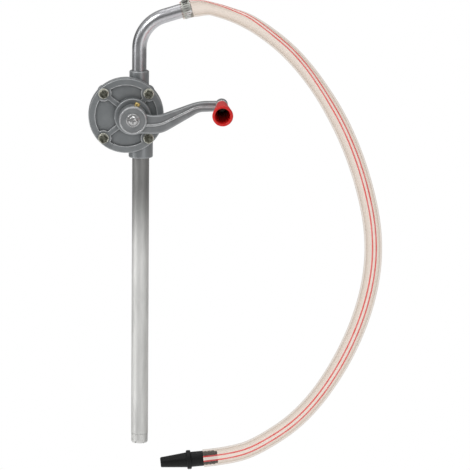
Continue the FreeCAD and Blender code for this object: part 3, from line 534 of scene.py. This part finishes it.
def turned_finishes():
    """Turned and machined pieces: the crank's screws, the bushes, the rotor and the springs."""
    machined = make_metal(
        "machined_steel", (0.60, 0.60, 0.60), (0.45, 0.45, 0.45), roughness=(0.2, 0.32), grain=1100
    )
    shiny = make_metal(
        "screw_plate", (0.62, 0.62, 0.62), (0.36, 0.36, 0.36), roughness=(0.16, 0.3), grain=1200
    )
    brass = make_metal(
        "turned_brass",
        (0.66, 0.50, 0.20),
        (0.42, 0.30, 0.10),
        roughness=(0.22, 0.36),
        grain=1000,
        blotch=140,
        # Edges lightened by wear and a painted highlight.
        worn_and_highlit=(0.85, 0.75, 0.45),
        edge=0.0005,
    )
    bronze = make_metal(
        "sintered_bronze", (0.50, 0.34, 0.17), (0.36, 0.24, 0.11), roughness=(0.4, 0.55), grain=1500
    )
    iron = make_metal(
        "machined_iron", (0.34, 0.34, 0.35), (0.24, 0.24, 0.25), roughness=(0.3, 0.45), grain=900
    )
    spring = make_metal(
        "spring_wire", (0.45, 0.45, 0.47), (0.3, 0.3, 0.32), roughness=(0.2, 0.3), grain=1500
    )
    return {
        machined: ["crank_end_washer"],
        shiny: ["crank_end_screw"],
        brass: ["crank_set_screw"],
        bronze: ["front_bush", "rear_bush"],
        iron: ["rotor_shaft"],
        spring: ["vane_springs"],
    }


def plastic_finishes():
    """Plastics and rubber: the grip, the nozzle, the seals, the vanes and the tubes' guides."""
    red = make_plastic(
        "red_grip", (0.72, 0.022, 0.018), (0.64, 0.016, 0.014), (0.3, 0.42), specular=0.35
    )
    black = make_plastic(
        "black_nozzle", (0.008, 0.0085, 0.0085), (0.005, 0.0055, 0.005), (0.42, 0.56), specular=0.22
    )
    rubber = make_plastic("black_rubber", (0.02, 0.02, 0.02), (0.012, 0.012, 0.012), (0.6, 0.75))
    board = make_plastic("vane_board", (0.18, 0.10, 0.05), (0.12, 0.06, 0.03), (0.45, 0.6), 900)
    nylon = make_plastic("guide_nylon", (0.74, 0.72, 0.66), (0.66, 0.64, 0.58), (0.4, 0.5))
    return {
        red: ["handle_grip"],
        black: ["nozzle"],
        rubber: ["cover_gasket", "shaft_seal"],
        board: ["upper_vane", "lower_vane"],
        nylon: [
            "outer_tube_bush",
            "middle_tube_bush",
            "middle_tube_guide",
            "inner_tube_guide",
        ],
    }


def finish_nodes():
    """Gives every CAD node its material."""
    groups = (casting_finishes, tube_finishes, zinc_finishes, turned_finishes, plastic_finishes)
    for group in groups:
        for finish, names in group().items():
            for name in names:
                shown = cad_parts[name]
                shown.data.materials.clear()
                shown.data.materials.append(finish)


# ---------------------------------------------------------------- hose

HOSE_RADIUS = 0.0135
HOSE_BORE = 0.011

# The hose's route from the spout to the nozzle, as (X, Z) at Y = 0. It is the CAD hose's route, with
# points 2 to 4 up to 10 mm nearer to how the hose looks just past its clamp.
HOSE_ROUTE = [
    (0.061, 0.2264),
    (0.091, 0.2335),
    (0.125, 0.2255),
    (0.174, 0.2070),
    (0.240, 0.154),
    (0.299, 0.069),
    (0.338, -0.024),
    (0.360, -0.126),
    (0.350, -0.220),
    (0.312, -0.316),
    (0.253, -0.401),
    (0.182, -0.450),
    (0.138, -0.4645),
    (0.098, -0.4685),
]

ROUTE_STEPS = 24

# How wide the hose is in the plane of its bend, at shares of its length, as parts of its diameter.
# It is as much deeper from front to back as it is narrower here.
HOSE_WIDTHS = [
    (0, 1),
    (0.024, 0.96),
    (0.05, 0.74),
    (0.075, 0.76),
    (0.11, 0.87),
    (0.25, 0.93),
    (0.33, 1),
    (0.70, 1),
    (0.78, 0.97),
    (0.92, 0.98),
    (0.95, 1),
    (1, 1),
]

# Where the pair of stripes runs, at shares of the length: degrees from the front towards the outside
# of the bend.
STRIPE_TURNS = [(0, 94), (0.17, 30), (0.3, 15), (0.7, 1), (1, -5)]

# The angle between the middles of the pair's two stripes, and each stripe's own width, in degrees.
STRIPE_GAPS = [(0, 22), (0.5, 24), (0.8, 27), (1, 30)]
STRIPE_WIDTH = 10

# The hose's materials, in their order on its mesh, and how many faces each run has round a ring.
CLEAR, STRIPE, CORE = 0, 1, 2
CLEAR_FACES, STRIPE_FACES, CORE_FACES = 45, 2, 3


def interpolated(stops, share):
    """The value at a share, with smooth steps between the stops."""
    for (low, before), (high, after) in zip(stops, stops[1:]):
        if share <= high:
            part = (share - low) / (high - low)
            part = part * part * (3 - 2 * part)
            return before + (after - before) * part
    return stops[-1][1]


def hose_line():
    """Points along the smooth curve that has the route's points as its controls."""
    curve = bpy.data.curves.new("hose_route", "CURVE")
    curve.dimensions = "3D"
    spline = curve.splines.new("NURBS")
    spline.points.add(len(HOSE_ROUTE) - 1)
    for point, (x, z) in zip(spline.points, HOSE_ROUTE):
        point.co = (x, 0, z, 1)
    spline.order_u = 3
    spline.use_endpoint_u = True
    spline.resolution_u = ROUTE_STEPS
    holder = bpy.data.objects.new("hose_route", curve)
    bpy.context.scene.collection.objects.link(holder)
    mesh = bpy.data.meshes.new_from_object(holder)
    points = [v.co.copy() for v in mesh.vertices]
    bpy.data.objects.remove(holder)
    bpy.data.meshes.remove(mesh)
    return points


def ring_angles(share):
    """Angles round the hose, and the material of the face from each angle to the next."""
    front = interpolated(STRIPE_TURNS, share)
    angles, kinds = [], []

    def arc(start, end, kind, steps):
        for step in range(steps):
            angles.append(math.radians(start + (end - start) * step / steps))
            kinds.append(kind)

    gap = interpolated(STRIPE_GAPS, share)
    inner, outer = gap / 2 - STRIPE_WIDTH / 2, gap / 2 + STRIPE_WIDTH / 2
    arc(front - outer, front - inner, STRIPE, STRIPE_FACES)
    arc(front - inner, front + inner, CORE, CORE_FACES)
    arc(front + inner, front + outer, STRIPE, STRIPE_FACES)
    arc(front + outer, front + 360 - outer, CLEAR, CLEAR_FACES)
    return angles, kinds


def hose_stations(mesh, path):
    """For each point of the path, the rings of the outer and inner skin, and their materials."""
    total = sum((b - a).length for a, b in zip(path, path[1:]))
    stations = []
    travelled = 0.0
    for i, spot in enumerate(path):
        if i:
            travelled += (spot - path[i - 1]).length
        share = travelled / total
        along = (path[min(i + 1, len(path) - 1)] - path[max(i - 1, 0)]).normalized()
        outward = Vector((-along.z, 0, along.x))
        width = interpolated(HOSE_WIDTHS, share)
        angles, kinds = ring_angles(share)
        rings = []
        for radius in (HOSE_RADIUS, HOSE_BORE):
            rings.append(
                [
                    mesh.verts.new(
                        spot
                        + outward * (radius * width * math.sin(a))
                        + Vector((0, -radius * (2 - width) * math.cos(a), 0))
                    )
                    for a in angles
                ]
            )
        stations.append((rings, kinds))
    return stations


def skin_faces(mesh, stations):
    """Joins each ring to the next one along. Only the outer skin shows the stripes."""
    for (rings, kinds), (next_rings, _) in zip(stations, stations[1:]):
        count = len(kinds)
        for skin in (0, 1):
            here, there = rings[skin], next_rings[skin]
            for k in range(count):
                corners = [here[k], here[(k + 1) % count], there[(k + 1) % count], there[k]]
                face = mesh.faces.new(corners if skin else corners[::-1])
                face.material_index = CLEAR if skin else kinds[k]
                face.smooth = True


def end_faces(mesh, stations):
    """The two cut ends, between the skins."""
    for (rings, kinds), flip in ((stations[0], False), (stations[-1], True)):
        count = len(kinds)
        outer, inner = rings
        for k in range(count):
            corners = [outer[k], outer[(k + 1) % count], inner[(k + 1) % count], inner[k]]
            mesh.faces.new(corners[::-1] if flip else corners)


def make_hose():
    """The clear hose: an outer skin with its stripes, an inner skin and the two cut ends."""
    path = hose_line()
    mesh = bmesh.new()
    stations = hose_stations(mesh, path)
    skin_faces(mesh, stations)
    end_faces(mesh, stations)
    data = bpy.data.meshes.new("hose")
    mesh.normal_update()
    mesh.to_mesh(data)
    mesh.free()
    hose = bpy.data.objects.new("hose", data)
    bpy.context.scene.collection.objects.link(hose)
    data.materials.append(make_clear("clear_pvc", (0.966, 0.940, 0.916), (0.84, 0.755, 0.665), 0.05))
    data.materials.append(make_clear("red_stripe", (0.95, 0.42, 0.40), (0.86, 0.06, 0.06), 0.72))
    data.materials.append(make_clear("pale_core", (1.0, 0.90, 0.83), (1.0, 0.86, 0.77), 0.85))
    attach(hose, "pump")
    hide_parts("delivery_hose")


# ---------------------------------------------------------------- the scene

bpy.context.scene.view_settings.view_transform = "Standard"
make_camera()
make_hose()
make_studio()
make_floor()
finish_nodes()
